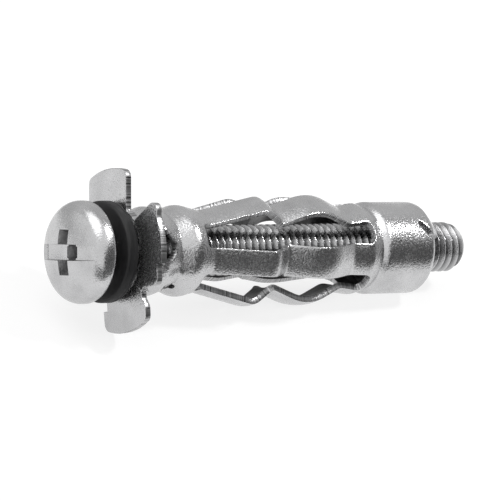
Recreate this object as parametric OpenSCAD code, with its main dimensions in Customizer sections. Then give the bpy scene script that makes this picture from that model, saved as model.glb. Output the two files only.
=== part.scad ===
// Hollow wall anchor with its machine screw.
// A slotted sheet-metal sleeve holds a round nut in its tail. The screw runs through a plastic
// washer, the sleeve's flange and the nut. Turning the screw home folds the sleeve's legs outwards
// behind a board or panel.
// The anchor lies on its flange and its tail, as it comes to rest on a table. +Z is up and +X runs
// from the screw's head towards its tip. The origin is at the middle of the anchor's footprint.
// Distances "along the axis" start at the front face of the flange and grow towards the tip.
// Angles about the axis start at the middle of one broad petal of the flange.

/* [Sheet metal] */
// Thickness of the sheet that the sleeve is rolled from
sheet_t = 0.65; // [0.5:0.05:0.8]
// Radius of the middle of the sheet in the bend between flange and neck
flange_bend_r = 1; // [0.7:0.05:1.2]
// Radius of the middle of the sheet in the sharp bends
sharp_bend_r = 0.45; // [0.45:0.05:0.55]
// Radius of the middle of the sheet in the soft bends
soft_bend_r = 0.8; // [0.6:0.05:0.9]

/* [Flange] */
// Diameter over the flange's petals
flange_d = 16; // [14.5:0.1:18]
// Distance from the axis to the square edge of a broad petal
petal_edge = 3.35; // [2.8:0.05:3.9]
// Distance from the axis to the slanting edge of a broad petal
petal_slant_edge = 0.84; // [0.5:0.02:1.2]
// Slant of that edge against the middle of the petal, in degrees
petal_slant = 30; // [25:1:36]
// Distance from the axis to a narrow wing's edge beside the square petal edge
wing_edge = 4.2; // [3.8:0.05:4.6]
// Distance from the axis to a narrow wing's other edge
wing_back_edge = 1.6; // [1.2:0.05:2]
// How far the barb stands out from the back edge of the first wing
barb_out = 0.25; // [0.1:0.05:0.4]
// How far that edge is cut back on the inner side of the barb
barb_undercut = 0.4; // [0.1:0.05:0.6]
// Distance from the axis at which the barb begins
barb_at = 5.9; // [5.6:0.1:6.6]
// Radius of the petals' and wings' outer corners
petal_corner_r = 0.8; // [0.4:0.05:0.9]
// Radius in the inner corner between a petal and a wing
notch_r = 0.8; // [0.4:0.05:1]
// Radius from the axis of the floor of the wide gaps between the petals
gap_root_r = 4.1; // [4:0.02:4.3]
// Width of the shear line across one petal, where the rolled sheet's ends meet
seam_w = 0.12; // [0.05:0.01:0.2]
// Distance of that line from the middle of the petal
seam_offset = 1.1; // [0.6:0.1:1.6]

/* [Neck] */
// Diameter of the neck just behind the flange
neck_d = 7.7; // [7.5:0.05:7.9]
// Diameter over the first bead of the neck
bead_1_d = 8.7; // [8.5:0.05:8.9]
// Diameter in the groove between the two beads
groove_d = 8.15; // [8:0.05:8.3]
// Diameter over the second bead of the neck
bead_2_d = 8.85; // [8.7:0.05:9]
// Distance along the axis from the flange to the crest of the first bead
bead_1_at = 3.3; // [3.2:0.05:3.6]
// Length of the ramp up to the first bead
bead_ramp = 1.2; // [1:0.05:1.4]
// Distance from the first bead's crest to the groove
groove_run = 1.9; // [1.7:0.05:2.2]
// Distance from the groove to the second bead's crest
bead_2_run = 1.8; // [1.6:0.05:2.2]
// Radius of the middle of the sheet over the second bead
bead_2_bend_r = 1.4; // [1:0.1:1.6]
// Distance from the second bead's crest to the root of the legs
root_run = 2.2; // [2:0.05:2.6]
// Diameter of the relief hole in the neck behind each broad petal
relief_d = 3.1; // [2.4:0.1:3.4]
// Distance along the axis from the flange to the middle of the relief hole
relief_at = 3; // [2.8:0.05:3.3]
// Turn of the relief hole from the middle of its petal, in degrees
relief_turn = -8; // [-14:1:0]
// Width along the axis of the keying slot beside one relief hole
key_slot_w = 1.6; // [1.2:0.1:1.8]
// Length around the neck of the keying slot
key_slot_len = 0.7; // [0.5:0.05:0.9]
// Distance along the axis from the flange to the middle of the keying slot
key_slot_at = 5.1; // [4.9:0.1:5.4]
// Turn of the keying slot about the axis, in degrees
key_slot_turn = 243; // [238:1:246]

/* [Legs] */
// Turn of the first leg about the axis, in degrees
leg_turn = 50.5; // [48:0.5:53]
// Width of a leg over its front half
leg_front_w = 2.45; // [2.2:0.05:2.7]
// Width of a leg over its rear half
leg_rear_w = 3; // [2.7:0.05:3.1]
// Diameter at the root of the legs
leg_root_d = 8.05; // [7.9:0.05:8.2]
// Diameter over the first fold, which is sharp
fold_1_d = 11.1; // [10.5:0.1:11.4]
// Diameter in the valley behind the first fold
valley_1_d = 8.7; // [8.5:0.05:9]
// Diameter over the second fold, which is rounded
fold_2_d = 11; // [10.5:0.1:11.3]
// Diameter in the valley behind the second fold
valley_2_d = 8.6; // [8.4:0.05:8.9]
// Length along the axis of the ramp up to the first fold
ramp_1_run = 6.5; // [6:0.1:7.5]
// Length of the drop behind the first fold
drop_1_run = 2; // [1.8:0.1:2.6]
// Length of the rise to the second fold
rise_2_run = 4.3; // [4:0.1:5]
// Radius of the middle of the sheet over the second fold
fold_2_bend_r = 3; // [2:0.1:3.4]
// Length of the drop behind the second fold
drop_2_run = 3.9; // [3.6:0.1:4.5]
// Distance from the last valley to the end of the windows
tail_run = 3; // [2.8:0.1:3.4]
// Distance from the tail's shoulder to the end of the windows
shoulder_inset = 0.8; // [0.6:0.05:1]
// Distance from the start of the windows to the root of the legs
root_inset = 1.2; // [0.9:0.05:1.4]
// Radius in the front corners of the windows
window_front_r = 0.6; // [0.4:0.05:0.7]
// Radius in the rear corners of the windows
window_rear_r = 1.2; // [0.9:0.05:1.3]

/* [Tail] */
// Diameter of the collar around the nut
collar_d = 9; // [8.9:0.05:9.2]
// Diameter in the crimped groove in front of the nut
crimp_d = 8.6; // [8.4:0.05:8.7]
// Distance from the end of the windows to the crimped groove
crimp_run = 1; // [0.9:0.05:1.3]
// Distance from the crimped groove to the collar
collar_rise = 0.9; // [0.8:0.05:1.2]
// Length of the collar's cylinder
collar_len = 4.7; // [4.4:0.1:6]
// Slope of the lip that closes the collar, in degrees from the axis
lip_slope = 54.5; // [50:0.5:60]
// Slope of the longer tongue that is pressed down over the nut, in degrees from the axis
tongue_slope = 38; // [34:1:42]
// Arc of the tongue about the axis, in degrees
tongue_arc = 110; // [90:5:120]
// Turn of the middle of the tongue about the axis, in degrees
tongue_turn = 105; // [95:1:115]
// Diameter of the staking mark in front of the collar
stake_d = 1; // [0.6:0.05:1.2]
// Depth of the staking mark
stake_depth = 0.2; // [0.1:0.05:0.3]
// Distance from the staking mark to the crimped groove
stake_inset = 0.6; // [0.4:0.05:0.8]
// Turn of the staking mark about the axis, in degrees
stake_turn = 148; // [140:1:156]
// Length around the axis of the slot beside the tongue
tail_slot_len = 2; // [1.6:0.1:2.2]
// Width of the slot beside the tongue
tail_slot_w = 0.7; // [0.5:0.05:0.9]
// Distance from the end of the collar's cylinder to that slot
tail_slot_gap = 0.25; // [0.15:0.05:0.3]
// Turn of that slot's middle inwards from the tongue's end, in degrees
tail_slot_turn = 8; // [6:1:10]
// Length of the bevelled nose of the nut, under the lip
nut_nose = 0.45; // [0.3:0.05:0.6]

/* [Screw] */
// Diameter over the thread
thread_d = 4.9; // [4.7:0.05:5]
// Length of the screw from under its head to its tip
screw_len = 43.7; // [42.8:0.1:46]
// Length of the bevel at the tip
tip_bevel = 0.8; // [0.4:0.05:1]
// Diameter of the pan head
head_d = 9.9; // [9.2:0.1:10.6]
// Height of the head
head_h = 3.05; // [2.8:0.05:3.4]
// Radius of the head's domed top
dome_r = 10.5; // [9.5:0.1:12]
// Radius where the dome turns into the head's side
head_corner_r = 1; // [0.8:0.05:1.1]
// Radius at the head's lower edge
head_foot_r = 0.6; // [0.4:0.05:0.7]
// Length of the driver slot across the head
slot_len = 6.6; // [6:0.1:7]
// Width of the driver slot
slot_w = 1.35; // [1.2:0.05:1.5]
// Depth of the driver slot below the top of the head
slot_depth = 1.5; // [1.2:0.05:1.7]
// Length of the cross-recess wings over both ends
cross_len = 4.8; // [4.4:0.1:5.2]
// Width of a cross-recess wing
cross_w = 1.05; // [0.9:0.05:1.2]
// Depth of the cross recess below the top of the head
cross_depth = 2; // [1.7:0.05:2.2]
// Turn of the driver slot about the axis, in degrees
slot_turn = 0; // [-10:1:10]

/* [Washer] */
// Diameter of the washer
washer_d = 9.8; // [9.2:0.1:10.4]
// Thickness of the washer
washer_t = 0.9; // [0.7:0.05:1.1]
// Bevel around the washer's front edge
washer_bevel = 0.15; // [0.05:0.05:0.2]
// Free play between the washer and the flange
washer_play = 0.65; // [0.6:0.05:0.9]
// Free play between the head and the washer
head_play = 1.05; // [0.9:0.05:1.4]

/* [Fits] */
// Radial clearance of the screw in the nut and in the washer
thread_clearance = 0.05; // [0.02:0.01:0.09]
// Radial clearance of the nut inside the collar
nut_clearance = 0.05; // [0.03:0.01:0.1]
// Radial clearance of the closed lip around the screw
lip_clearance = 0.3; // [0.2:0.05:0.4]
// Radial clearance of the pressed tongue around the screw
tongue_clearance = 0.12; // [0.08:0.02:0.2]
// Clearance along the axis between the nut and the sleeve's folded ends
nut_end_clearance = 0.2; // [0.1:0.05:0.25]

/* [Hidden] */
$fn = 96;
leg_count = 5;
arc_steps = 4;
dome_steps = 8;
settling_rounds = 4;
over = 1;
flange_r = flange_d / 2;
half_t = sheet_t / 2;
thread_r = thread_d / 2;

// Places along the axis.
neck_end = bead_1_at - bead_ramp;
groove_at = bead_1_at + groove_run;
bead_2_at = groove_at + bead_2_run;
root_at = bead_2_at + root_run;
window_start = root_at - root_inset;
fold_1_at = root_at + ramp_1_run;
valley_1_at = fold_1_at + drop_1_run;
fold_2_at = valley_1_at + rise_2_run;
valley_2_at = fold_2_at + drop_2_run;
window_end = valley_2_at + tail_run;
shoulder_at = window_end - shoulder_inset;
crimp_at = window_end + crimp_run;
collar_start = crimp_at + collar_rise;
collar_end = collar_start + collar_len;
washer_front = -washer_play - washer_t;
head_seat = washer_front - head_play;
head_top = head_seat - head_h;
tip_at = head_seat + screw_len;

// Radius of the middle of the sheet where its outside has the diameter d.
function mid_r(d) = d / 2 - half_t;

// The closed lip and the tongue end at these radii, measured on the middle of the sheet.
lip_mid_r = thread_r + lip_clearance + half_t * cos(lip_slope);
tongue_mid_r = thread_r + tongue_clearance + half_t * cos(tongue_slope);
collar_mid_r = mid_r(collar_d);
lip_at = collar_end + (collar_mid_r - lip_mid_r) / tan(lip_slope);
tongue_at = collar_end + (collar_mid_r - tongue_mid_r) / tan(tongue_slope);

// Middle line of the sheet from the flange's rim to the lip: [radius, distance, bend radius].
sheet_line = [
    [flange_r, half_t, 0],
    [mid_r(neck_d), half_t, flange_bend_r],
    [mid_r(neck_d), neck_end, soft_bend_r],
    [mid_r(bead_1_d), bead_1_at, soft_bend_r],
    [mid_r(groove_d), groove_at, sharp_bend_r],
    [mid_r(bead_2_d), bead_2_at, bead_2_bend_r],
    [mid_r(leg_root_d), root_at, soft_bend_r],
    [mid_r(fold_1_d), fold_1_at, sharp_bend_r],
    [mid_r(valley_1_d), valley_1_at, sharp_bend_r],
    [mid_r(fold_2_d), fold_2_at, fold_2_bend_r],
    [mid_r(valley_2_d), valley_2_at, soft_bend_r],
    [mid_r(collar_d), shoulder_at, soft_bend_r],
    [mid_r(crimp_d), crimp_at, sharp_bend_r],
    [collar_mid_r, collar_start, sharp_bend_r],
    [collar_mid_r, collar_end, sharp_bend_r],
    [lip_mid_r, lip_at, 0]
];

function unit(v) = v / norm(v);
function turned(v) = [-v[1], v[0]];
function place(corner) = [corner[0], corner[1]];

// The centre of a bend of radius r at the corner b, coming from a and leaving for c.
function bend_centre(a, b, c, r) =
    let (
        to_a = unit(a - b),
        to_c = unit(c - b)
    )
    b + unit(to_a + to_c) * r / sin(acos(to_a * to_c) / 2);

// The points of that bend.
function bend(a, b, c, r) =
    let (
        centre = bend_centre(a, b, c, r),
        from = b + unit(a - b) * ((centre - b) * unit(a - b)) - centre,
        to = b + unit(c - b) * ((centre - b) * unit(c - b)) - centre,
        start = atan2(from[1], from[0]),
        raw = atan2(to[1], to[0]) - start,
        sweep = raw > 180 ? raw - 360 : raw < -180 ? raw + 360 : raw
    )
    [
        for (i = [0 : arc_steps])
            let (angle = start + sweep * i / arc_steps)
            centre + r * [cos(angle), sin(angle)]
    ];

// Which way a corner of a line points: 1 for a crest, -1 for a valley and 0 for any other corner.
function points_out(line, i) =
    i == 0 || i == len(line) - 1 ? 0
    : line[i][0] > line[i - 1][0] && line[i][0] > line[i + 1][0] ? 1
    : line[i][0] < line[i - 1][0] && line[i][0] < line[i + 1][0] ? -1
    : 0;

// How far the bend at a corner reaches from the axis.
function bend_reach(line, i) =
    bend_centre(place(line[i - 1]), place(line[i]), place(line[i + 1]), line[i][2])[0]
    + points_out(line, i) * line[i][2];

// A bend falls short of its corner. The corners are moved until each crest and each valley
// reaches the radius that it has in the wanted line.
function reaching(line, wanted, rounds) =
    rounds < 1 ? line : reaching([
        for (i = [0 : len(line) - 1])
            points_out(wanted, i) == 0 ? line[i]
            : [line[i][0] + wanted[i][0] - bend_reach(line, i), line[i][1], line[i][2]]
    ], wanted, rounds - 1);

// A line with each of its corners bent to the radius that it gives.
function rounded(line) = [
    for (i = [0 : len(line) - 1])
        each line[i][2] == 0
            ? [place(line[i])]
            : bend(place(line[i - 1]), place(line[i]), place(line[i + 1]), line[i][2])
];

// A line moved sideways by d, with mitred corners.
function beside(line, d) =
    let (last = len(line) - 1)
    [
        for (i = [0 : last])
            let (
                before = turned(unit(line[max(i, 1)] - line[max(i, 1) - 1])),
                after = turned(unit(line[min(i, last - 1) + 1] - line[min(i, last - 1)]))
            )
            line[i] + d * (before + after) / (1 + before * after)
    ];

bent_line = rounded(reaching(sheet_line, sheet_line, settling_rounds));

// The outline of a sheet that follows a middle line.
function sheet_outline(line) = concat(
    beside(line, half_t),
    [for (i = [len(line) - 1 : -1 : 0]) beside(line, -half_t)[i]]
);

// Distance from the axis to the centre of a rounded outer corner. The corner meets the rim at a
// slight angle, as a deburred one does.
corner_share = 0.97;
corner_reach = flange_r - corner_share * petal_corner_r;

// How the anchor rests: on one corner of a wing and one of a petal, and on the collar's rear edge.
wing_corner = [
    wing_back_edge + barb_out - petal_corner_r,
    -sqrt(corner_reach ^ 2 - (wing_back_edge + barb_out - petal_corner_r) ^ 2)
];
slant_in = petal_slant_edge - petal_corner_r;
slant_out = sqrt(corner_reach ^ 2 - slant_in ^ 2);
along_slant = [cos(petal_slant), -sin(petal_slant)];
petal_corner = slant_out * along_slant - slant_in * [sin(petal_slant), cos(petal_slant)];
down = -turned(unit(petal_corner - wing_corner));
rest_turn = -atan2(down[1], down[0]);
flange_drop = petal_corner * down + petal_corner_r;
rest_tilt = atan((flange_drop - collar_d / 2) / (collar_end - sheet_t));
axis_height = flange_drop * cos(rest_tilt) + sheet_t * sin(rest_tilt);
rear_reach = tip_at * cos(rest_tilt) + (thread_r - tip_bevel) * sin(rest_tilt);
front_reach = (head_top + dome_r) * cos(rest_tilt) - dome_r;
middle = (rear_reach + front_reach) / 2;

// Lays down what is modelled upright around the Z axis, with the flange's front face at z = 0.
module laid_down() {
    translate([-middle, 0, axis_height])
        rotate([0, 90 + rest_tilt, 0])
            rotate(rest_turn)
                children();
}

// Cuts the corner where an edge at the distance w from the middle line meets the flange's rim.
module rim_corner_cut(w, side) {
    r = petal_corner_r;
    x = sqrt(corner_reach ^ 2 - (w - r) ^ 2);
    reach = (flange_r + over) / corner_reach;
    difference() {
        polygon([
            [x, side * (w - r)],
            [x, side * (w + over)],
            [flange_r + over, side * (w + over)],
            [reach * x, reach * side * (w - r)]
        ]);
        translate([x, side * (w - r)])
            circle(r);
    }
}

// One broad petal, one narrow wing and the fillet between them.
module half_flange_plan() {
    long = flange_r + over;
    slant_start = -petal_slant_edge * [sin(petal_slant), cos(petal_slant)];
    polygon([
        [0, petal_edge],
        [long, petal_edge],
        [long, slant_start[1]],
        slant_start + long * along_slant,
        slant_start
    ]);
    translate([-wing_back_edge, 0])
        square([wing_edge + wing_back_edge, long]);
    difference() {
        translate([wing_edge - over, petal_edge - over])
            square(notch_r + over);
        translate([wing_edge + notch_r, petal_edge + notch_r])
            circle(notch_r);
    }
}

// The flange seen from the front, with two broad petals and two narrow wings.
module flange_plan() {
    difference() {
        intersection() {
            circle(flange_r);
            union() {
                half_flange_plan();
                rotate(180)
                    half_flange_plan();
                translate([wing_back_edge - over, -flange_r])
                    square([over + barb_out, flange_r - barb_at]);
            }
        }
        rim_corner_cut(petal_edge, 1);
        rotate(180)
            rim_corner_cut(petal_edge, 1);
        rotate(-petal_slant)
            rim_corner_cut(petal_slant_edge, -1);
        rotate(180 - petal_slant)
            rim_corner_cut(petal_slant_edge, -1);
        rotate(90)
            rim_corner_cut(wing_edge, -1);
        rotate(270)
            rim_corner_cut(wing_edge, -1);
        rotate(90)
            rim_corner_cut(wing_back_edge, 1);
        rotate(270)
            rim_corner_cut(wing_back_edge + barb_out, 1);
        translate([wing_back_edge - barb_undercut, -barb_at])
            square([over, barb_at - gap_root_r + over]);
    }
}

// What is punched out of the flange between its petals.
module flange_gaps() {
    difference() {
        translate([0, 0, -over])
            cylinder(r = flange_r + over, h = over + neck_end);
        translate([0, 0, -2 * over])
            cylinder(r = gap_root_r, h = 3 * over + bead_1_at);
        translate([0, 0, -2 * over])
            linear_extrude(3 * over + bead_1_at)
                flange_plan();
    }
}

// A square corner with its inside rounded away, opening towards +x and +y.
module corner_fillet(r) {
    difference() {
        translate([-over, -over])
            square(r + over);
        translate([r, r])
            circle(r);
    }
}

// What is cut away beside one leg, in the flat: across the leg in x, along the axis in y.
module beside_leg_plan() {
    difference() {
        union() {
            translate([leg_front_w / 2, window_start])
                square([flange_r, valley_1_at - window_start]);
            translate([leg_rear_w / 2, valley_1_at - over])
                square([flange_r, window_end - valley_1_at + over]);
        }
        translate([leg_front_w / 2, window_start])
            corner_fillet(window_front_r);
        translate([leg_rear_w / 2, window_end])
            mirror([0, 1])
                corner_fillet(window_rear_r);
    }
}

// The same as a solid beside a leg that stands on the +X side of the axis.
module beside_leg(side) {
    rotate([90, 0, 90])
        linear_extrude(flange_r)
            mirror([side < 0 ? 1 : 0, 0])
                beside_leg_plan();
}

// What is punched out between the legs.
module windows() {
    pitch = 360 / leg_count;
    for (i = [0 : leg_count - 1])
        rotate(leg_turn + i * pitch)
            intersection() {
                beside_leg(1);
                rotate(pitch)
                    beside_leg(-1);
            }
}

// The holes in the neck and the marks in the tail.
module punched_details() {
    for (half = [0, 180])
        rotate(half + relief_turn)
            translate([thread_r, 0, relief_at])
                rotate([0, 90, 0])
                    cylinder(d = relief_d, h = flange_r);
    rotate(key_slot_turn)
        translate([thread_r + sheet_t, -key_slot_len / 2, key_slot_at - key_slot_w / 2])
            cube([flange_r, key_slot_len, key_slot_w]);
    rotate(180)
        translate([gap_root_r, seam_offset - seam_w / 2, -over])
            cube([flange_r, seam_w, sheet_t + 2 * over]);
    rotate(stake_turn)
        translate([mid_r(crimp_d) + half_t + stake_d / 2 - stake_depth, 0, crimp_at - stake_inset])
            sphere(d = stake_d);
    rotate(tongue_turn + tongue_arc / 2 - tail_slot_turn)
        translate([thread_r + tongue_clearance, -tail_slot_len / 2, collar_end + tail_slot_gap])
            cube([collar_d, tail_slot_len, tail_slot_w]);
}

module sleeve() {
    color([0.72, 0.73, 0.74])
        laid_down()
            difference() {
                union() {
                    rotate_extrude()
                        polygon(sheet_outline(bent_line));
                    rotate(tongue_turn - tongue_arc / 2)
                        rotate_extrude(angle = tongue_arc)
                            polygon(sheet_outline([
                                [collar_mid_r, collar_end - half_t],
                                [collar_mid_r, collar_end],
                                [tongue_mid_r, tongue_at]
                            ]));
                }
                flange_gaps();
                windows();
                punched_details();
            }
}

module nut() {
    nut_r = mid_r(collar_d) - half_t - nut_clearance;
    nut_front = collar_start + nut_end_clearance;
    nut_rear = collar_end - nut_end_clearance;
    bore_len = nut_rear - nut_front + nut_nose + 2 * over;
    color([0.62, 0.63, 0.65])
        laid_down()
            difference() {
                union() {
                    translate([0, 0, nut_front])
                        cylinder(r = nut_r, h = nut_rear - nut_front);
                    translate([0, 0, nut_rear])
                        cylinder(r1 = nut_r, r2 = nut_r - nut_nose * tan(lip_slope), h = nut_nose);
                }
                translate([0, 0, nut_front - over])
                    cylinder(r = thread_r + thread_clearance, h = bore_len);
            }
}

module washer() {
    color([0.09, 0.09, 0.1])
        laid_down()
            difference() {
                union() {
                    translate([0, 0, washer_front])
                        cylinder(d1 = washer_d - 2 * washer_bevel, d2 = washer_d, h = washer_bevel);
                    translate([0, 0, washer_front + washer_bevel])
                        cylinder(d = washer_d, h = washer_t - washer_bevel);
                }
                translate([0, 0, washer_front - over])
                    cylinder(r = thread_r + thread_clearance, h = washer_t + 2 * over);
            }
}

// The corner of the head's outline between the dome and its side.
head_shoulder = sqrt((dome_r - head_corner_r) ^ 2 - (head_d / 2 - head_corner_r) ^ 2);
dome_centre = head_top + dome_r;

module head_solid() {
    corner_at = dome_centre - head_shoulder;
    shoulder_turn = atan2(head_d / 2 - head_corner_r, head_shoulder);
    dome_edge = [
        for (i = [0 : dome_steps])
            let (t = shoulder_turn * i / dome_steps)
            [dome_r * sin(t), dome_centre - dome_r * cos(t)]
    ];
    shoulder = [
        for (i = [1 : dome_steps])
            let (t = shoulder_turn + (90 - shoulder_turn) * i / dome_steps)
            [head_d / 2, corner_at] + head_corner_r * [sin(t) - 1, -cos(t)]
    ];
    foot = [
        for (i = [0 : arc_steps])
            let (t = 90 * i / arc_steps)
            [head_d / 2, head_seat] + head_foot_r * [cos(t) - 1, sin(t) - 1]
    ];
    rotate_extrude()
        polygon(concat(dome_edge, shoulder, foot, [[0, head_seat]]));
}

module screw() {
    color([0.78, 0.79, 0.8])
        laid_down() {
            difference() {
                head_solid();
                rotate(slot_turn)
                    translate([-slot_len / 2, -slot_w / 2, head_top - over])
                        cube([slot_len, slot_w, slot_depth + over]);
                rotate(slot_turn)
                    translate([-cross_w / 2, -cross_len / 2, head_top - over])
                        cube([cross_w, cross_len, cross_depth + over]);
            }
            translate([0, 0, head_seat])
                cylinder(r = thread_r, h = screw_len - tip_bevel);
            translate([0, 0, tip_at - tip_bevel])
                cylinder(r1 = thread_r, r2 = thread_r - tip_bevel, h = tip_bevel);
        }
}

sleeve();
nut();
washer();
screw();
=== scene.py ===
import math

import bpy
import numpy as np
from mathutils import Matrix, Vector


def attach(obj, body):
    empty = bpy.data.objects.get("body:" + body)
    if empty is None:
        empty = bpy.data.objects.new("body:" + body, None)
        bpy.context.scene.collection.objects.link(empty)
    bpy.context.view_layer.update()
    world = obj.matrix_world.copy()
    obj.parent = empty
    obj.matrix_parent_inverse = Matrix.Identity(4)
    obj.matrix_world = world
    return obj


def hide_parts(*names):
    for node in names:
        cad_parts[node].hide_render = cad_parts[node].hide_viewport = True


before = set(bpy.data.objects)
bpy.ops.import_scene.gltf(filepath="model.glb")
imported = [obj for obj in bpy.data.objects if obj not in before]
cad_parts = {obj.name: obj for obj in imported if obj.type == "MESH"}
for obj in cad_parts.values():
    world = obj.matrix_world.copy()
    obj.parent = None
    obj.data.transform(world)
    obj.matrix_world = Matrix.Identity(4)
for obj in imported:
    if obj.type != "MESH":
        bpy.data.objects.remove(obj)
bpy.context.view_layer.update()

# ---------------------------------------------------------------- sleeve
# The sleeve is one strip of sheet steel: stamped flat, rolled to a tube, flared to a flange at
# the front, slotted to five folded legs and pressed shut over its nut at the tail. It is zinc
# plated. Its flange clamps against the board, and the legs fold outwards behind it.
MM = 0.001
# Each piece is shaped upright, in millimetres, with z from the board's face towards the tip.
# It is then laid down: the axis falls by REST_TILT degrees, and REST_TURN is the roll on it.
REST_TILT, REST_TURN = 4.61218, 55.9799
MIDDLE, AXIS_HEIGHT = 17.7169, 7.34001
lay_down = (
    Matrix.Translation((-MIDDLE * MM, 0, AXIS_HEIGHT * MM))
    @ Matrix.Rotation(math.radians(90 + REST_TILT), 4, "Y")
    @ Matrix.Rotation(math.radians(REST_TURN), 4, "Z")
    @ Matrix.Scale(MM, 4)
)


def only(piece):
    """Selects one piece and nothing else."""
    bpy.ops.object.select_all(action="DESELECT")
    piece.select_set(True)
    bpy.context.view_layer.objects.active = piece


def use(piece, kind, **settings):
    """Adds a modifier to a piece and applies it."""
    only(piece)
    step = piece.modifiers.new(kind.title(), kind)
    for name, value in settings.items():
        setattr(step, name, value)
    bpy.ops.object.modifier_apply(modifier=step.name)


def lay(piece):
    """Puts a piece that was shaped upright, in millimetres, where the anchor lies."""
    piece.data.transform(lay_down)
    piece.data.update()


def smooth(t):
    """A soft step from 0 to 1."""
    t = np.clip(t, 0, 1)
    return t * t * (3 - 2 * t)


SHEET = 0.65
RIM_R, FRONT_PLANE, THROAT_R = 8, SHEET / 2, 3.525
COLLAR_R, COLLAR_END = 4.175, 35.5
# Middle line of the sheet: radius, distance along the axis and bend radius of each corner.
middle_line = [
    (RIM_R, FRONT_PLANE, 0), (THROAT_R, FRONT_PLANE, 1), (THROAT_R, 2.1, 0.8),
    (4.053, 3.3, 0.8), (3.42, 5.3, 0.42), (4.16, 7, 1.3),                 # the neck and its bead
    (3.681, 9.2, 0.8), (5.258, 15.6, 1.4), (3.94, 17.7, 0.85),            # the first fold
    (5.535, 22, 5), (3.9, 25.9, 1.6), (4.2, 28.1, 0.8),                   # the second fold
    (3.76, 29.6, 0.42), (4.2, 30.15, 0.42), (COLLAR_R, COLLAR_END, 0.45),  # crimp and collar
    (2.939, 36.382, 0),                                                   # the lip over the nut
]
ARC_STEP, FLAT_STEP = 0.14, 0.26


def bent(corners):
    """The points of a line whose corners are bent to their radius."""
    points = [np.array(corners[0][:2], float)]
    for before, corner, after in zip(corners, corners[1:], corners[2:]):
        a, b, c = (np.array(p[:2], float) for p in (before, corner, after))
        to_a, to_c = (a - b) / np.linalg.norm(a - b), (c - b) / np.linalg.norm(c - b)
        half, r = math.acos(to_a @ to_c) / 2, corner[2]
        centre = b + (to_a + to_c) / np.linalg.norm(to_a + to_c) * r / math.sin(half)
        start, end = (b + d * r / math.tan(half) - centre for d in (to_a, to_c))
        first = math.atan2(start[1], start[0])
        sweep = (math.atan2(end[1], end[0]) - first + math.pi) % (2 * math.pi) - math.pi
        count = max(3, math.ceil(abs(sweep) * r / ARC_STEP))
        for k in range(count + 1):
            angle = first + sweep * k / count
            points.append(centre + r * np.array([math.cos(angle), math.sin(angle)]))
    return np.array(points + [np.array(corners[-1][:2], float)])


# Radii of the rows of cells on the flange: closer where its corners and notches are round.
FLANGE_ROWS = [RIM_R, 7.975, 7.91, 7.81, 7.67, 7.5, 7.3, 7.1, 6.85, 6.6, 6.38, 6.2, 6.1, 6.0, 5.9,
               5.8, 5.73, 5.698, 5.5, 5.25, 5.0, 4.75]
WINDOW_START, WINDOW_END = 8.0, 28.5
FRONT_R, REAR_R = 0.6, 0.86
STEP_AT, STEP_RUN = 17.25, 0.45
FRONT_HALF_W, REAR_HALF_W = 1.225, 1.5
# Distances at which a row of cells has to lie, because the windows' outline turns there.
CREASES = [WINDOW_START + FRONT_R * (1 - math.cos(math.radians(k))) for k in (0, 25, 45, 65, 90)]
CREASES += [WINDOW_END - REAR_R * (1 - math.cos(math.radians(k))) for k in (0, 22, 40, 58, 75, 90)]
CREASES += [STEP_AT, STEP_AT + STEP_RUN / 2, STEP_AT + STEP_RUN]
ROW_GAP, SAME_ROW = 0.07, 0.02


def rows_of_the_strip():
    """Radius and distance of each row of the strip, from the rim to the lip."""
    line = bent(middle_line)
    rows = [(r, FRONT_PLANE) for r in FLANGE_ROWS]
    for a, b in zip(line[1:], line[2:]):
        count = max(1, math.ceil(np.linalg.norm(b - a) / FLAT_STEP))
        marks = {k / count for k in range(count)}
        for z in CREASES:
            if a[1] < z < b[1]:
                rise = b[1] - a[1]
                crease = (z - a[1]) / rise
                marks = {m for m in marks if abs(m - crease) * rise > ROW_GAP} | {crease}
        rows += [tuple(a + (b - a) * m) for m in sorted(marks)]
    rows.append(tuple(line[-1]))
    kept = [rows[0]]
    for row in rows[1:]:
        if math.dist(row, kept[-1]) > SAME_ROW:
            kept.append(row)
    return np.array(kept)


rows = rows_of_the_strip()
row_r, row_z = rows[:, 0], rows[:, 1]
row_v = np.concatenate([[0], np.cumsum(np.hypot(np.diff(row_r), np.diff(row_z)))])
ROWS = len(rows) - 1
LEGS, LEG_CELLS, GAP_CELLS = 5, 16, 18
PITCH_CELLS = LEG_CELLS + GAP_CELLS
COLUMNS = LEGS * PITCH_CELLS
FIRST_LEG, PITCH = 194.5, 360 / LEGS
# The widest a leg may reach, as the sine of half its angle. Past half the pitch, legs would cross.
WIDEST = 0.575


def half_width(z):
    """Half the width of a leg at a distance along the axis, with the windows' round corners."""
    w = FRONT_HALF_W + (REAR_HALF_W - FRONT_HALF_W) * smooth((z - STEP_AT) / STEP_RUN)
    front = np.clip(WINDOW_START + FRONT_R - z, 0, FRONT_R)
    rear = np.clip(z - WINDOW_END + REAR_R, 0, REAR_R)
    w += FRONT_R - np.sqrt(FRONT_R**2 - front**2)
    return w + REAR_R - np.sqrt(REAR_R**2 - rear**2)


def leg_angles(r, z):
    """Angle of each column where the strip is cut to legs, in degrees."""
    reach = min(half_width(z) / r, WIDEST)
    edge = np.degrees(np.arcsin(reach))
    half = LEG_CELLS // 2
    q = np.arange(COLUMNS + 1) % PITCH_CELLS
    leg = (np.arange(COLUMNS + 1) // PITCH_CELLS) * PITCH + FIRST_LEG
    share = (q - half) / GAP_CELLS
    side = np.where(q <= half, q / half, (PITCH_CELLS - q) / half)
    on_leg = np.degrees(np.arcsin(np.minimum(side, 1) * reach))
    gap = edge + (PITCH - 2 * edge) * share
    return leg + np.where(q <= half, on_leg, np.where(q >= half + GAP_CELLS, PITCH - on_leg, gap))


CORNER_R = 0.8


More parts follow.
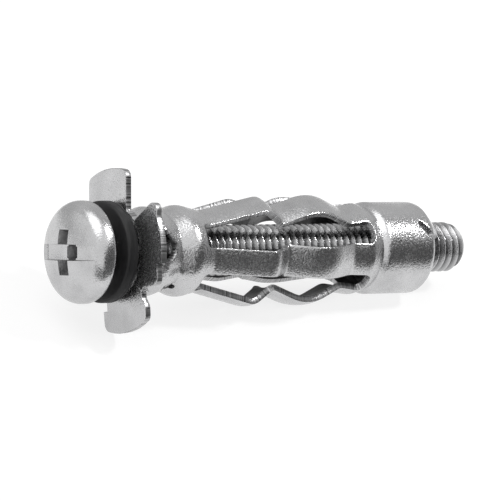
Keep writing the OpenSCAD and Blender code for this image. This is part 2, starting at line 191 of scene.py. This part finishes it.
def edge_angle(offset, rho):
    """Angle at which a straight edge with a round outer corner crosses the radius rho."""
    reach = RIM_R - CORNER_R
    centre = math.sqrt(reach**2 - (offset - CORNER_R) ** 2)
    if rho <= math.hypot(centre, offset):
        return math.degrees(math.asin(offset / rho))
    turn = min(1, (rho**2 + reach**2 - CORNER_R**2) / (2 * rho * reach))
    return math.degrees(math.atan2(offset - CORNER_R, centre) + math.acos(turn))


NOTCH = (5.0, 4.15)
NOTCH_TURN, NOTCH_REACH = math.degrees(math.atan2(NOTCH[1], NOTCH[0])), math.hypot(*NOTCH)
NOTCH_FLOOR, NOTCH_LEAST = NOTCH_REACH - CORNER_R, 1.7
# A straight edge lies at an offset from a line through the axis. It starts at the radius where
# the round notch beside it ends.
PETAL_EDGE, PETAL_FROM = 3.35, 6.018
WING_EDGE, WING_FROM, WING_FLARE, FLARE_RUN = 4.2, 5.904, 0.5, 1.3
SLANT_TURN, SLANT_EDGE = 327, 0.84
BARB_AT, BARB_OUTER, BARB_INNER, FAR_BARB = 6.15, 2.05, 1.4, 1.85
SEAM_OFFSET, SEAM_GAP, SEAM_FROM, SEAM_RUN = 1.1, 0.07, 6.2, 0.8


def flange_angles(rho):
    """Angles of the petals' and wings' edges at the radius rho, starting behind the seam."""
    turn = min(1, (rho**2 + NOTCH_REACH**2 - CORNER_R**2) / (2 * rho * NOTCH_REACH))
    notch = max(NOTCH_LEAST, math.degrees(math.acos(turn)))
    petal = NOTCH_TURN - notch if rho < PETAL_FROM else edge_angle(PETAL_EDGE, rho)
    wing = NOTCH_TURN + notch if rho < WING_FROM else 90 - edge_angle(WING_EDGE, rho)
    low_wing = wing
    if rho >= WING_FROM:
        flare = WING_FLARE * float(smooth((rho - WING_FROM) / FLARE_RUN))
        low_wing = 90 - edge_angle(WING_EDGE + flare, rho)
    slant = SLANT_TURN - edge_angle(SLANT_EDGE, rho)
    barbed = edge_angle(BARB_OUTER if rho > BARB_AT else BARB_INNER, rho)
    seam = math.degrees(math.asin(SEAM_OFFSET / rho))
    gap = math.degrees(SEAM_GAP / rho) * float(smooth((rho - SEAM_FROM) / SEAM_RUN))
    return [180 + seam + gap, 180 + petal, 180 + low_wing, 270 + barbed, slant, 360 + petal,
            360 + wing, 450 + edge_angle(FAR_BARB, rho), 180 + slant, 540 + seam - gap]


# Each edge of the flange takes the column that lies next to it at the neck. The two notches
# keep NOTCH_CELLS columns between their edges.
ROOT_R, NECK_R, LEAST_R, NOTCH_CELLS = 4.142, 3.85, 3.7, 4
neck_angles = leg_angles(NECK_R, WINDOW_START)
root_angles = flange_angles(ROOT_R)
at_edge = [int(np.argmin(abs(neck_angles - a))) for a in root_angles]
at_edge[0], at_edge[-1] = 0, COLUMNS
for first, second in ((1, 2), (5, 6)):
    middle = (at_edge[first] + at_edge[second]) // 2
    at_edge[first], at_edge[second] = middle - NOTCH_CELLS // 2, middle + NOTCH_CELLS // 2

# The columns run along the flange's edges in front, along the legs' edges in the middle and
# evenly spaced at the tail.
LEGS_FROM, LEGS_RUN = 1.2, 5.8
EVEN_FROM, EVEN_RUN = 29.4, 4
angle = np.zeros((COLUMNS + 1, ROWS + 1))
index = np.arange(COLUMNS + 1)
even = FIRST_LEG + 360 * index / COLUMNS
for j in range(ROWS + 1):
    r, z = row_r[j], row_z[j]
    legs = leg_angles(max(r, LEAST_R), z)
    flange = np.interp(index, at_edge, flange_angles(max(r, ROOT_R)))
    if r < ROOT_R:
        flange[0], flange[-1] = root_angles[0], root_angles[0] + 360
    to_legs = smooth((z - LEGS_FROM) / LEGS_RUN) if j > len(FLANGE_ROWS) else 0
    to_even = smooth((z - EVEN_FROM) / EVEN_RUN)
    angle[:, j] = flange * (1 - to_legs) + (legs * (1 - to_even) + even * to_even) * to_legs

# The blank: what is stamped away between the petals, in the windows and at the holes.
along = np.tile(row_v, (COLUMNS + 1, 1))
cell_r = (row_r[:-1] + row_r[1:]) / 2
cell_z = (row_z[:-1] + row_z[1:]) / 2
gone = np.zeros((COLUMNS, ROWS), bool)
past_leg = (np.arange(COLUMNS) - LEG_CELLS // 2) % PITCH_CELLS
in_window = (cell_z > WINDOW_START) & (cell_z < WINDOW_END)
gone |= (past_leg < GAP_CELLS)[:, None] & in_window[None, :]
in_flange = np.arange(ROWS) <= len(FLANGE_ROWS)
for first, floor in ((1, NOTCH_FLOOR), (3, ROOT_R), (5, NOTCH_FLOOR), (7, ROOT_R)):
    columns = (index[:-1] >= at_edge[first]) & (index[:-1] < at_edge[first + 1])
    gone |= columns[:, None] & (in_flange & (cell_r > floor))[None, :]


def v_at(z):
    """Distance along the strip at which the sheet, past the flange, reaches z."""
    past = row_r < FLANGE_ROWS[-1]
    return float(np.interp(z, row_z[past], row_v[past]))


def punch(turn, v, around, lengthwise, radius, slant=0):
    """Stamps a round-ended slot: the cells inside go, and their edge is drawn onto its outline.

    It lies at an angle round the axis and a distance v along the strip. Its ends are as far
    from its middle as around and lengthwise say, and slant turns it, in degrees.
    """
    lean, rise = math.cos(math.radians(slant)), math.sin(math.radians(slant))
    r = float(np.interp(v, row_v, row_r))

    def reach(theta, w):
        d = (np.radians(theta - turn) + np.pi) % (2 * np.pi) - np.pi
        s, t = d * r * lean + (w - v) * rise, (w - v) * lean - d * r * rise
        cs, ct = np.clip(s, -around, around), np.clip(t, -lengthwise, lengthwise)
        return s, t, cs, ct, np.hypot(s - cs, t - ct)

    mid = (angle[:-1, :-1] + angle[1:, :-1] + angle[:-1, 1:] + angle[1:, 1:]) / 4
    mid_v = (along[:-1, :-1] + along[1:, 1:]) / 2
    inside = reach(mid, mid_v)[4] < radius
    gone[inside] = True
    touch_in = np.zeros((COLUMNS + 1, ROWS + 1), bool)
    touch_out = np.zeros((COLUMNS + 1, ROWS + 1), bool)
    for di in (0, 1):
        for dj in (0, 1):
            touch_in[di:di + COLUMNS, dj:dj + ROWS] |= inside
            touch_out[di:di + COLUMNS, dj:dj + ROWS] |= ~inside
    s, t, cs, ct, d = reach(angle, along)
    for i, j in zip(*np.nonzero(touch_in & touch_out)):
        if 0 < i < COLUMNS:
            k = radius / max(d[i, j], 1e-6)
            new_s = cs[i, j] + (s[i, j] - cs[i, j]) * k
            new_t = ct[i, j] + (t[i, j] - ct[i, j]) * k
            ds, dt = new_s - s[i, j], new_t - t[i, j]
            angle[i, j] += math.degrees((ds * lean - dt * rise) / r)
            along[i, j] += dt * lean + ds * rise


# Two relief holes in the neck, the keying slot behind its bead and the slanting tail slot.
for relief_turn in (172 + 360, 352):
    punch(relief_turn, v_at(3.0), around=0, lengthwise=0, radius=1.5)
punch(243, v_at(5.1), around=0.02, lengthwise=0.45, radius=0.33)
punch(155 + 360, v_at(34.9), around=0.68, lengthwise=0, radius=0.3, slant=42)

# Rolling and folding: each point of the strip goes to its radius, distance and angle.
r = np.interp(along, row_v, row_r)
z = np.interp(along, row_v, row_z)
psi = np.radians(angle)


def off(theta, turn):
    """How far angles lie from a turn, in degrees."""
    return (theta - turn + 180) % 360 - 180


# One stretch of the lip is a longer tongue.
TONGUE_TURN, TONGUE_HALF, TONGUE_FADE = 105, 55, 3
TONGUE_R, TONGUE_END = 2.95, 36.95
LIP_V = v_at(COLLAR_END)
lip = np.clip((along - LIP_V) / (row_v[-1] - LIP_V), 0, 1)
from_side = TONGUE_HALF + TONGUE_FADE - abs(off(angle, TONGUE_TURN))
in_tongue = np.where(along > LIP_V, smooth(from_side / (2 * TONGUE_FADE)), 0)
r = r + in_tongue * (COLLAR_R + (TONGUE_R - COLLAR_R) * lip - r)
z = z + in_tongue * (COLLAR_END + (TONGUE_END - COLLAR_END) * lip - z)

# The staking dimple in the crimp.
STAKE_TURN, STAKE_AT, STAKE_R, STAKE_SIZE, STAKE_DEPTH = 148, 29.3, 4.2, 0.42, 0.16
stake = np.hypot(np.radians(off(angle, STAKE_TURN)) * STAKE_R, z - STAKE_AT)
r = r - STAKE_DEPTH * np.exp(-((stake / STAKE_SIZE) ** 2))

# The petal at the seam is a little smaller than the other one, most of all past the seam, and
# the wing next to it leans back. Rims move in and back by the amounts given, and roots stay.
FLANGE_BACK = 0.6
by_seam = smooth(at_edge[1] + 1 - index)
on_low_wing = smooth((index - at_edge[2] + 2) / 2) * smooth((at_edge[3] + 2 - index) / 2)
on_petal = smooth((index - at_edge[8]) / 6) + smooth((at_edge[1] - index) / 4)
on_flange = z < FLANGE_BACK
for columns, root, inwards, back in (
    (by_seam, 5.6, 0.62, -0.05),
    (on_low_wing, 4.4, 0.17, 0.3),
    (on_petal, 4.8, 0.42, -0.04),
):
    share = columns[:, None] * np.clip((r - root) / (RIM_R - root), 0, 1) * on_flange
    r, z = r - inwards * share, z + back * share

# A flat tab stands a little proud of the bead.
TAB_TURN, TAB_HALF_TURN, TAB_AT, TAB_HALF, TAB_HEIGHT = 219, 11, 4.75, 1.0, 0.22
tab = np.exp(-((off(angle, TAB_TURN) / TAB_HALF_TURN) ** 4) - ((z - TAB_AT) / TAB_HALF) ** 4)
r = r + TAB_HEIGHT * tab


def cells_of(collection, what):
    """Reads where vertices or faces lie on the flat blank, in columns and rows of cells."""
    places = np.empty(len(collection) * 3)
    collection.foreach_get(what, places)
    return ((places.reshape(-1, 3)[:, :2] + 0.5) * (COLUMNS, ROWS)).T


bpy.ops.mesh.primitive_grid_add(x_subdivisions=COLUMNS, y_subdivisions=ROWS, size=1)
sleeve = bpy.context.object
sleeve.name = sleeve.data.name = "folded_sleeve"
corner_col, corner_row = np.rint(cells_of(sleeve.data.vertices, "co")).astype(int)
cell_col, cell_row = np.floor(cells_of(sleeve.data.polygons, "center")).astype(int)
stamped = gone[cell_col, cell_row]
rolled = np.stack([r * np.cos(psi), r * np.sin(psi), z], -1)[corner_col, corner_row]
sleeve.data.vertices.foreach_set("co", rolled.ravel())
bpy.ops.object.mode_set(mode="EDIT")
bpy.ops.mesh.select_mode(type="FACE")
bpy.ops.mesh.select_all(action="DESELECT")
bpy.ops.object.mode_set(mode="OBJECT")
sleeve.data.polygons.foreach_set("select", stamped)
bpy.ops.object.mode_set(mode="EDIT")
bpy.ops.mesh.delete(type="FACE")
bpy.ops.mesh.select_all(action="SELECT")
bpy.ops.mesh.remove_doubles(threshold=0.004)
bpy.ops.mesh.normals_make_consistent(inside=False)
bpy.ops.object.mode_set(mode="OBJECT")


def grain(nodes, links, scale, detail):
    """A fine random pattern on object coordinates."""
    place = nodes.new("ShaderNodeTexCoord")
    noise = nodes.new("ShaderNodeTexNoise")
    noise.inputs["Scale"].default_value = scale
    noise.inputs["Detail"].default_value = detail
    links.new(place.outputs["Object"], noise.inputs["Vector"])
    return noise


def spread(nodes, links, value, low, high, from_low=0.3, from_high=0.7):
    """Maps a pattern's usual values onto a range."""
    node = nodes.new("ShaderNodeMapRange")
    node.inputs["From Min"].default_value = from_low
    node.inputs["From Max"].default_value = from_high
    node.inputs["To Min"].default_value = low
    node.inputs["To Max"].default_value = high
    links.new(value, node.inputs["Value"])
    return node.outputs["Result"]


def press(nodes, links, pattern, strength, distance):
    """Presses a pattern into a material's surface."""
    bump = nodes.new("ShaderNodeBump")
    bump.inputs["Strength"].default_value = strength
    bump.inputs["Distance"].default_value = distance
    links.new(pattern.outputs["Fac"], bump.inputs["Height"])
    links.new(bump.outputs["Normal"], nodes["Principled BSDF"].inputs["Normal"])


# The third value is the base colour of the shade painted into the thread's roots.
METAL, BLUISH, ROOT_SHADE_TONE, CRYSTAL_HEIGHT = 0.92, 1.012, 0.12, 0.00004


def zinc(name, dark, light, rough, crystals, depth, clouds=420, streaks=None, root_shade=None):
    """Bright zinc plating: pale metal with fine crystals and faint clouds.

    With streaks, the grain is stretched along the strip's UV map. Where the attribute named by
    the last argument is 0, the base colour is painted dark, as shade.
    """
    material = bpy.data.materials.new(name)
    material.use_nodes = True
    nodes, links = material.node_tree.nodes, material.node_tree.links
    shader = nodes["Principled BSDF"]
    shader.inputs["Metallic"].default_value = METAL
    fine = grain(nodes, links, crystals, 2)
    if streaks:
        blank, stretch = nodes.new("ShaderNodeUVMap"), nodes.new("ShaderNodeMapping")
        blank.uv_map = "UVMap"
        stretch.inputs["Scale"].default_value = streaks
        links.new(blank.outputs["UV"], stretch.inputs["Vector"])
        links.new(stretch.outputs["Vector"], fine.inputs["Vector"])
    broad = grain(nodes, links, clouds, 3)
    shade = nodes.new("ShaderNodeMix")
    shade.data_type = "RGBA"
    shade.inputs["A"].default_value = (dark, dark, dark * BLUISH, 1)
    shade.inputs["B"].default_value = (light, light, light * BLUISH, 1)
    tint = fine if streaks else broad
    links.new(spread(nodes, links, tint.outputs["Fac"], 0, 1), shade.inputs["Factor"])
    colour = shade.outputs["Result"]
    if root_shade:
        shade_mask, shaded = nodes.new("ShaderNodeAttribute"), nodes.new("ShaderNodeMix")
        shade_mask.attribute_name = root_shade
        shaded.data_type = "RGBA"
        shaded.inputs["A"].default_value = (ROOT_SHADE_TONE, ROOT_SHADE_TONE, 0.122, 1)
        links.new(shade_mask.outputs["Fac"], shaded.inputs["Factor"])
        links.new(colour, shaded.inputs["B"])
        colour = shaded.outputs["Result"]
    links.new(colour, shader.inputs["Base Color"])
    links.new(spread(nodes, links, fine.outputs["Fac"], *rough), shader.inputs["Roughness"])
    press(nodes, links, fine, depth, CRYSTAL_HEIGHT)
    return material


OUTSIDE, RIM, INSIDE = 0, 1, 2
for sheet_side in (
    zinc("plated_sheet", dark=0.49, light=0.6, rough=(0.1, 0.36), crystals=5400, depth=0.9),
    zinc("sheared_edge", dark=0.1, light=0.72, rough=(0.24, 0.38), crystals=1, depth=0.45,
         streaks=(150, 260, 1)),
    # The inside of the tube is painted dark, as shade.
    zinc("sleeve_inside_painted_shade", dark=0.1, light=0.2, rough=(0.3, 0.42), crystals=5600, depth=0.6),
):
    sleeve.data.materials.append(sheet_side)
BURR, SHARP_FOLD, SMOOTH_FOLD = 0.055, math.radians(50), math.radians(38)
use(sleeve, "SOLIDIFY", thickness=SHEET, offset=0, use_even_offset=True, material_offset_rim=RIM)
use(sleeve, "BEVEL", width=BURR, segments=2, limit_method="ANGLE", angle_limit=SHARP_FOLD,
    use_clamp_overlap=False, harden_normals=False)
# Faces inside the tube, behind the flare, take the dark inside plating that paints their shade.
FLARE_BACK, FACING_IN = 1.2, -0.3
for face in sleeve.data.polygons:
    outward = Vector((face.center.x, face.center.y, 0)).normalized()
    inner = face.center.z > FLARE_BACK and face.normal.dot(outward) < FACING_IN
    if face.material_index == OUTSIDE and inner:
        face.material_index = INSIDE
only(sleeve)
bpy.ops.object.shade_smooth_by_angle(angle=SMOOTH_FOLD)
lay(sleeve)
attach(sleeve, "sleeve_body")
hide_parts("sleeve")

# ---------------------------------------------------------------- nut
# A round steel nut, turned and tapped, zinc plated. The sleeve's collar and lip are pressed
# around it, so only its front face shows through the windows.
nut_zinc = zinc("plated_nut", dark=0.4, light=0.52, rough=(0.3, 0.42), crystals=4200, depth=0.4)
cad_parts["nut"].data.materials[0] = nut_zinc

# ---------------------------------------------------------------- washer
# A moulded black plastic washer that grips the screw's thread and keeps it from falling out.
# It has rounded rims and a fine groove round its outside.
def drawn(name, outline):
    """A piece that is only a line yet, through points of radius and distance."""
    mesh = bpy.data.meshes.new(name)
    corners = [(radius, 0, distance) for radius, distance in outline]
    mesh.from_pydata(corners, [(k, k + 1) for k in range(len(corners) - 1)], [])
    piece = bpy.data.objects.new(name, mesh)
    bpy.context.scene.collection.objects.link(piece)
    return piece


def close_mesh():
    """Joins what touches in the mesh being edited, turns its faces outwards and leaves it."""
    bpy.ops.mesh.select_all(action="SELECT")
    bpy.ops.mesh.remove_doubles(threshold=0.002)
    bpy.ops.mesh.normals_make_consistent(inside=False)
    bpy.ops.object.mode_set(mode="OBJECT")


def spun(name, outline, steps):
    """Turns an outline of radius and distance about the axis, as on a lathe."""
    piece = drawn(name, outline)
    only(piece)
    bpy.ops.object.mode_set(mode="EDIT")
    bpy.ops.mesh.select_all(action="SELECT")
    bpy.ops.mesh.spin(steps=steps, angle=2 * math.pi, center=(0, 0, 0), axis=(0, 0, 1))
    close_mesh()
    return piece


BORE_R, OUTER_R, FRONT, BACK = 2.5, 4.9, -1.9, -0.72
washer_outline = [
    (BORE_R, -1.85), (2.56, FRONT),
    (4.55, FRONT), (4.72, -1.88), (4.83, -1.82), (4.89, -1.72), (OUTER_R, -1.6),       # front rim
    (OUTER_R, -1.12), (4.885, -1.08), (4.86, -1.06), (4.875, -1.03), (OUTER_R, -1.0),  # groove
    (OUTER_R, -0.86), (4.88, -0.78), (4.83, -0.73), (4.75, BACK),                      # back rim
    (2.56, BACK), (BORE_R, -0.77), (BORE_R, -1.85),
]
ROUND_STEPS = 128
washer = spun("plastic_washer", washer_outline, ROUND_STEPS)
black = bpy.data.materials.new("moulded_black")
black.use_nodes = True
nodes, links = black.node_tree.nodes, black.node_tree.links
shader = nodes["Principled BSDF"]
speckle = grain(nodes, links, 2600, 4)
tone = nodes.new("ShaderNodeMix")
tone.data_type = "RGBA"
tone.inputs["A"].default_value = (0.012, 0.012, 0.013, 1)
tone.inputs["B"].default_value = (0.026, 0.026, 0.027, 1)
links.new(speckle.outputs["Fac"], tone.inputs["Factor"])
links.new(tone.outputs["Result"], shader.inputs["Base Color"])
shader.inputs["Specular IOR Level"].default_value = 0.3
links.new(spread(nodes, links, speckle.outputs["Fac"], 0.42, 0.56), shader.inputs["Roughness"])
press(nodes, links, speckle, 0.15, 0.00003)
washer.data.materials.append(black)
only(washer)
bpy.ops.object.shade_smooth_by_angle(angle=math.radians(40))
lay(washer)
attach(washer, "washer_body")
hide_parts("washer")

# ---------------------------------------------------------------- screw
# A steel machine screw with a rolled M5 thread and a cold-headed pan head, zinc plated.
# The driver recess is pressed: a long slot with a shorter cross through it.
PITCH_MM, MINOR_R, MAJOR_R = 0.8, 2.0, 2.45
HEAD_TOP, HEAD_SEAT, TIP = -6.2, -3.15, 41.4
THREAD_START, SHANK_START = HEAD_SEAT - 0.6, HEAD_SEAT - 0.25
# One tooth of the thread. Its second flank is the first one mirrored about the crest.
ROOT_END, CREST_MIDDLE = 0.1, 0.41
flank = [(MINOR_R, ROOT_END), (MINOR_R + 0.03, 0.14), (MAJOR_R - 0.05, 0.34), (MAJOR_R, 0.39)]
tooth = [(MINOR_R, 0), *flank, *((x, 2 * CREST_MIDDLE - y) for x, y in reversed(flank))]
tooth.append((MINOR_R, PITCH_MM))
screw = drawn("pan_head_screw", [(x, THREAD_START + y) for x, y in tooth])
TURNS, THREAD_STEPS = math.ceil((TIP - THREAD_START) / PITCH_MM) + 1, 40
use(screw, "SCREW", axis="Z", angle=2 * math.pi, screw_offset=PITCH_MM, iterations=TURNS,
    steps=THREAD_STEPS, render_steps=THREAD_STEPS, use_merge_vertices=True, merge_threshold=0.001,
    use_normal_calculate=True)
only(screw)
bpy.ops.object.mode_set(mode="EDIT")
for height, outside in ((SHANK_START, -1), (TIP, 1)):
    bpy.ops.mesh.select_all(action="SELECT")
    bpy.ops.mesh.bisect(plane_co=(0, 0, height), plane_no=(0, 0, outside), use_fill=True,
                        clear_outer=True)
close_mesh()
TIP_BEVEL, TIP_NARROWING, TIP_ROUNDING = 1.1, 0.62, 1.7
for vertex in screw.data.vertices:
    into_bevel = max(0, vertex.co.z - TIP + TIP_BEVEL) / TIP_BEVEL
    limit = MAJOR_R - TIP_NARROWING * into_bevel**TIP_ROUNDING
    radius = math.hypot(vertex.co.x, vertex.co.y)
    if radius > limit:
        vertex.co.x *= limit / radius
        vertex.co.y *= limit / radius


def arc(x, y, radius, first, last, steps):
    """Points of an arc about (x, y). Its angles count from the head's top outwards."""
    turns = [first + (last - first) * k / steps for k in range(steps + 1)]
    return [(x + radius * math.sin(a), y - radius * math.cos(a)) for a in turns]


# The head's outline: the dome, a rounder shoulder that the dome runs into, and the foot.
HEAD_R, DOME_R, SHOULDER_R, FOOT_R = 4.95, 10.5, 1.5, 0.5
dome_centre, inset = HEAD_TOP + DOME_R, HEAD_R - SHOULDER_R
shoulder = math.sqrt((DOME_R - SHOULDER_R) ** 2 - inset**2)
turn = math.atan2(inset, shoulder)
head_outline = arc(0, dome_centre, DOME_R, 0, turn, 14)
head_outline += arc(inset, dome_centre - shoulder, SHOULDER_R, turn, math.pi / 2, 12)[1:]
head_outline += arc(HEAD_R - FOOT_R, HEAD_SEAT - FOOT_R, FOOT_R, math.pi / 2, math.pi, 8)
head_outline.append((0, HEAD_SEAT))
head = spun("head", head_outline, ROUND_STEPS)


def cutter(length, width, depth, floor_length, floor_width, above=0.4):
    """A punch with slanting sides, standing in the head's top. Its length runs along x."""
    bpy.ops.mesh.primitive_cube_add(size=2)
    block = bpy.context.object
    for vertex in block.data.vertices:
        low = vertex.co.z > 0
        vertex.co.x *= (floor_length if low else length) / 2
        vertex.co.y *= (floor_width if low else width) / 2
        vertex.co.z = HEAD_TOP + depth if low else HEAD_TOP - above
    return block


SLOT_WIDTH, SLOT_DEPTH, CROSS_DEPTH, PIT_DEPTH = 1.6, 1.2, 2.0, 2.5
slot = cutter(9.2, SLOT_WIDTH, SLOT_DEPTH, floor_length=8.0, floor_width=1.45)
cross = cutter(1.7, width=4.8, depth=CROSS_DEPTH, floor_length=0.95, floor_width=3.2)
pit = cutter(2.2, width=1.3, depth=PIT_DEPTH, floor_length=1.2, floor_width=1.0)
for block in (slot, cross, pit):
    use(head, "BOOLEAN", object=block, operation="DIFFERENCE", solver="EXACT")
    bpy.data.objects.remove(block)
use(head, "BEVEL", width=0.07, segments=2, limit_method="ANGLE", angle_limit=math.radians(35),
    use_clamp_overlap=True)
# The screw's plating carries painted shade in the thread's roots.
screw_zinc = zinc("plated_screw", dark=0.49, light=0.6, rough=(0.14, 0.32), crystals=5600,
                  depth=0.55, clouds=500, root_shade="crest")
# A darker plating that paints the shade in the driver recess.
painted_recess_shade = zinc("recess_painted_shade", dark=0.17, light=0.34, rough=(0.28, 0.42), crystals=5600,
                   depth=0.9, clouds=900)
head.data.materials.append(screw_zinc)
head.data.materials.append(painted_recess_shade)
# Shade is painted into the recess: its walls get a darker plating than the dome and the slot's
# floor.
SHADED_R, SLOT_SHADED_X, CROSS_X, SHADED_DEPTH = 3.9, 4.2, 0.75, PIT_DEPTH + 0.1
UNDER_DOME, NEAR_FLOOR, NEAR_WALL, STEEP = 0.12, 0.04, 0.13, 0.3
for face in head.data.polygons:
    x, y, depth = face.center.x, face.center.y, face.center.z - HEAD_TOP
    from_axis = math.hypot(x, y)
    dome = DOME_R - math.sqrt(DOME_R**2 - min(from_axis, 4) ** 2)
    cut = dome + UNDER_DOME < depth < SHADED_DEPTH and from_axis < SHADED_R
    slot_floor = abs(depth - SLOT_DEPTH) < NEAR_FLOOR and abs(x) > CROSS_X
    beside_slot = abs(abs(y) - SLOT_WIDTH / 2) < NEAR_WALL and abs(x) < SLOT_SHADED_X
    slot_wall = beside_slot and abs(face.normal.y) > STEEP and depth < SHADED_DEPTH
    if slot_wall or (cut and not slot_floor):
        face.material_index = 1
screw.data.materials.append(screw_zinc)
# The thread's roots get painted shade: the base colour is dark there and bright on the crests. The
# head gets no painted shade.
for piece, plain in ((head, True), (screw, False)):
    crest = piece.data.attributes.new("crest", "FLOAT", "POINT")
    for vertex in piece.data.vertices:
        reach = (math.hypot(vertex.co.x, vertex.co.y) - MINOR_R) / (MAJOR_R - MINOR_R)
        crest.data[vertex.index].value = 1 if plain else min(1, max(0, reach))
bpy.ops.object.select_all(action="DESELECT")
head.select_set(True)
screw.select_set(True)
bpy.context.view_layer.objects.active = screw
bpy.ops.object.join()
only(screw)
bpy.ops.object.shade_smooth_by_angle(angle=math.radians(32))
lay(screw)
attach(screw, "screw_body")
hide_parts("screw")

# ---------------------------------------------------------------- studio
# A pale floor, a white surround, one small and one large lamp, and plain cards that only the
# plating reflects. Three cards stand round the anchor and two mats lie on the floor beside it.
def ray_switch(nodes, links):
    """A value of 1 for camera, glossy and transmission rays, and of 0 for all others."""
    path = nodes.new("ShaderNodeLightPath")
    total = path.outputs["Is Camera Ray"]
    for name in ("Is Glossy Ray", "Is Transmission Ray"):
        larger = nodes.new("ShaderNodeMath")
        larger.operation = "MAXIMUM"
        links.new(total, larger.inputs[0])
        links.new(path.outputs[name], larger.inputs[1])
        total = larger.outputs["Value"]
    return total


scene = bpy.context.scene
world = bpy.data.worlds.new("studio")
scene.world = world
world.use_nodes = True
nodes, links = world.node_tree.nodes, world.node_tree.links
nodes.clear()
seen, lit = nodes.new("ShaderNodeBackground"), nodes.new("ShaderNodeBackground")
mixed = nodes.new("ShaderNodeMixShader")
seen.inputs["Color"].default_value = (1, 1, 1, 1)
lit.inputs["Color"].default_value = (1, 1, 1, 1)
lit.inputs["Strength"].default_value = 0.55
links.new(ray_switch(nodes, links), mixed.inputs["Fac"])
links.new(lit.outputs["Background"], mixed.inputs[1])
links.new(seen.outputs["Background"], mixed.inputs[2])
links.new(mixed.outputs["Shader"], nodes.new("ShaderNodeOutputWorld").inputs["Surface"])

bpy.ops.mesh.primitive_plane_add(size=3)
floor = bpy.context.object
floor.name = "floor"
pale = bpy.data.materials.new("pale_floor")
pale.use_nodes = True
nodes, links = pale.node_tree.nodes, pale.node_tree.links
nodes.clear()
paper = nodes.new("ShaderNodeBsdfDiffuse")
glow, nothing = nodes.new("ShaderNodeEmission"), nodes.new("ShaderNodeEmission")
paper.inputs["Color"].default_value = (0.24, 0.24, 0.24, 1)
glow.inputs["Strength"].default_value = 0.8
nothing.inputs["Strength"].default_value = 0
gate, total = nodes.new("ShaderNodeMixShader"), nodes.new("ShaderNodeAddShader")
links.new(ray_switch(nodes, links), gate.inputs["Fac"])
links.new(nothing.outputs["Emission"], gate.inputs[1])
links.new(glow.outputs["Emission"], gate.inputs[2])
links.new(paper.outputs["BSDF"], total.inputs[0])
links.new(gate.outputs["Shader"], total.inputs[1])
links.new(total.outputs["Shader"], nodes.new("ShaderNodeOutputMaterial").inputs["Surface"])
floor.data.materials.append(pale)


LOOK_HEIGHT = 0.007


def stand(piece, azimuth, elevation, distance):
    """Stands a card or a lamp round the anchor, with its -Z side towards the axis."""
    a, e = math.radians(azimuth), math.radians(elevation)
    towards = Vector((math.cos(a) * math.cos(e), math.sin(a) * math.cos(e), math.sin(e)))
    piece.location = towards * distance
    look = Vector((0, 0, LOOK_HEIGHT)) - piece.location
    piece.rotation_euler = look.to_track_quat("-Z", "Y").to_euler()


def card(name, width, height, level):
    """A plain card that only glossy rays see. It lies flat until it is stood up."""
    bpy.ops.mesh.primitive_plane_add(size=1)
    plane = bpy.context.object
    plane.name = name
    plane.scale = (width, height, 1)
    tone = bpy.data.materials.new(name)
    tone.use_nodes = True
    tone.node_tree.nodes.clear()
    glow = tone.node_tree.nodes.new("ShaderNodeEmission")
    glow.inputs["Color"].default_value = (level, level, level, 1)
    out = tone.node_tree.nodes.new("ShaderNodeOutputMaterial")
    tone.node_tree.links.new(glow.outputs["Emission"], out.inputs["Surface"])
    plane.data.materials.append(tone)
    plane.visible_camera = plane.visible_diffuse = plane.visible_shadow = False
    plane.visible_transmission = plane.visible_volume_scatter = False
    return plane


stand(card("dark_card", 1.4, 0.86, level=0.06), azimuth=-62, elevation=17, distance=0.9)
stand(card("grey_card", 3.2, 1.36, level=0.6), azimuth=72, elevation=34, distance=1.0)
stand(card("side_card", 0.85, 1.7, level=0.36), azimuth=-5, elevation=38, distance=1.1)
MAT_HEIGHT = 0.0004
card("grey_mat", 0.9, 0.5, level=0.55).location = (0.1, 0.285, MAT_HEIGHT)
card("dark_mat", 0.7, 0.52, level=0.1).location = (0.2, -0.282, MAT_HEIGHT)


def lamp(name, size, power):
    """A round soft lamp."""
    light = bpy.data.lights.new(name, "AREA")
    light.shape = "DISK"
    light.size = size
    light.energy = power
    piece = bpy.data.objects.new(name, light)
    scene.collection.objects.link(piece)
    return piece


stand(lamp("small_lamp", 0.08, 1.1), azimuth=-18, elevation=57, distance=0.5)
stand(lamp("large_lamp", 0.9, 3), azimuth=150, elevation=60, distance=0.9)

# The camera looks down at the anchor from the side of its head, rolled a little to the right.
AZIMUTH, DOWN, ROLL = (math.radians(v) for v in (41.034, 30.527, 18.414))
DISTANCE, LENS_PIXELS, FRAME_PIXELS = 0.7021, 7218.5, 500
SHIFT_RIGHT, SHIFT_UP = -0.000601, 0.001779
flat_ahead = Vector((math.sin(AZIMUTH), math.cos(AZIMUTH), 0))
ahead = flat_ahead * math.cos(DOWN) - Vector((0, 0, math.sin(DOWN)))
sideways = Vector((math.cos(AZIMUTH), -math.sin(AZIMUTH), 0))
right = sideways * math.cos(ROLL) + sideways.cross(ahead) * math.sin(ROLL)
up = right.cross(ahead)
aim = Vector((0, 0, AXIS_HEIGHT * MM / 2)) + right * SHIFT_RIGHT + up * SHIFT_UP
camera_data = bpy.data.cameras.new("camera")
camera_data.lens = LENS_PIXELS * camera_data.sensor_width / FRAME_PIXELS
camera_data.clip_start = 0.01
camera = bpy.data.objects.new("camera", camera_data)
scene.collection.objects.link(camera)
turned = Matrix((right, up, -ahead)).transposed().to_4x4()
camera.matrix_world = Matrix.Translation(aim - ahead * DISTANCE) @ turned
scene.camera = camera
scene.view_settings.view_transform = "Standard"
